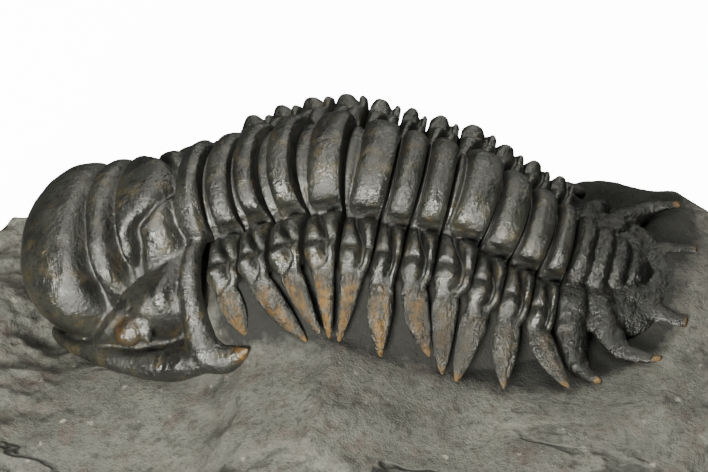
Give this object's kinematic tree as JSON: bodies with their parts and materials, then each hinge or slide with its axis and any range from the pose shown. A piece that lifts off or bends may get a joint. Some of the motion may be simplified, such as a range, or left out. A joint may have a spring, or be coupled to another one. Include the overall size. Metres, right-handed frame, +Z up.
{
  "type": "trilobite fossil",
  "caption": "Arched spiny trilobite lying on the block of grey limestone that it was prepared out of, resting on the block's flat cut base.",
  "frame": {"origin": "middle of the flat cut base of the rock, under the middle of the whole specimen", "axes": "+X runs from the head to the tail along the animal, +Z is up out of the rock, and the animal's left side faces -Y"},
  "size_m": [0.0948, 0.059, 0.0363],
  "materials": {
    "shell": "dark calcite shell, semi-gloss and finely pitted, with ochre patches on the spines",
    "rock": "matte grey limestone with pale flecks and brown stains"
  },
  "bodies": {
    "root": {"matrix": "rock", "cephalon": "shell", "thoracic_segment_01": "shell", "thoracic_segment_02": "shell", "thoracic_segment_03": "shell", "thoracic_segment_04": "shell", "thoracic_segment_05": "shell", "thoracic_segment_06": "shell", "thoracic_segment_07": "shell", "thoracic_segment_08": "shell", "thoracic_segment_09": "shell", "thoracic_segment_10": "shell", "thoracic_segment_11": "shell", "pygidium": "shell"}
  },
  "joints": []
}
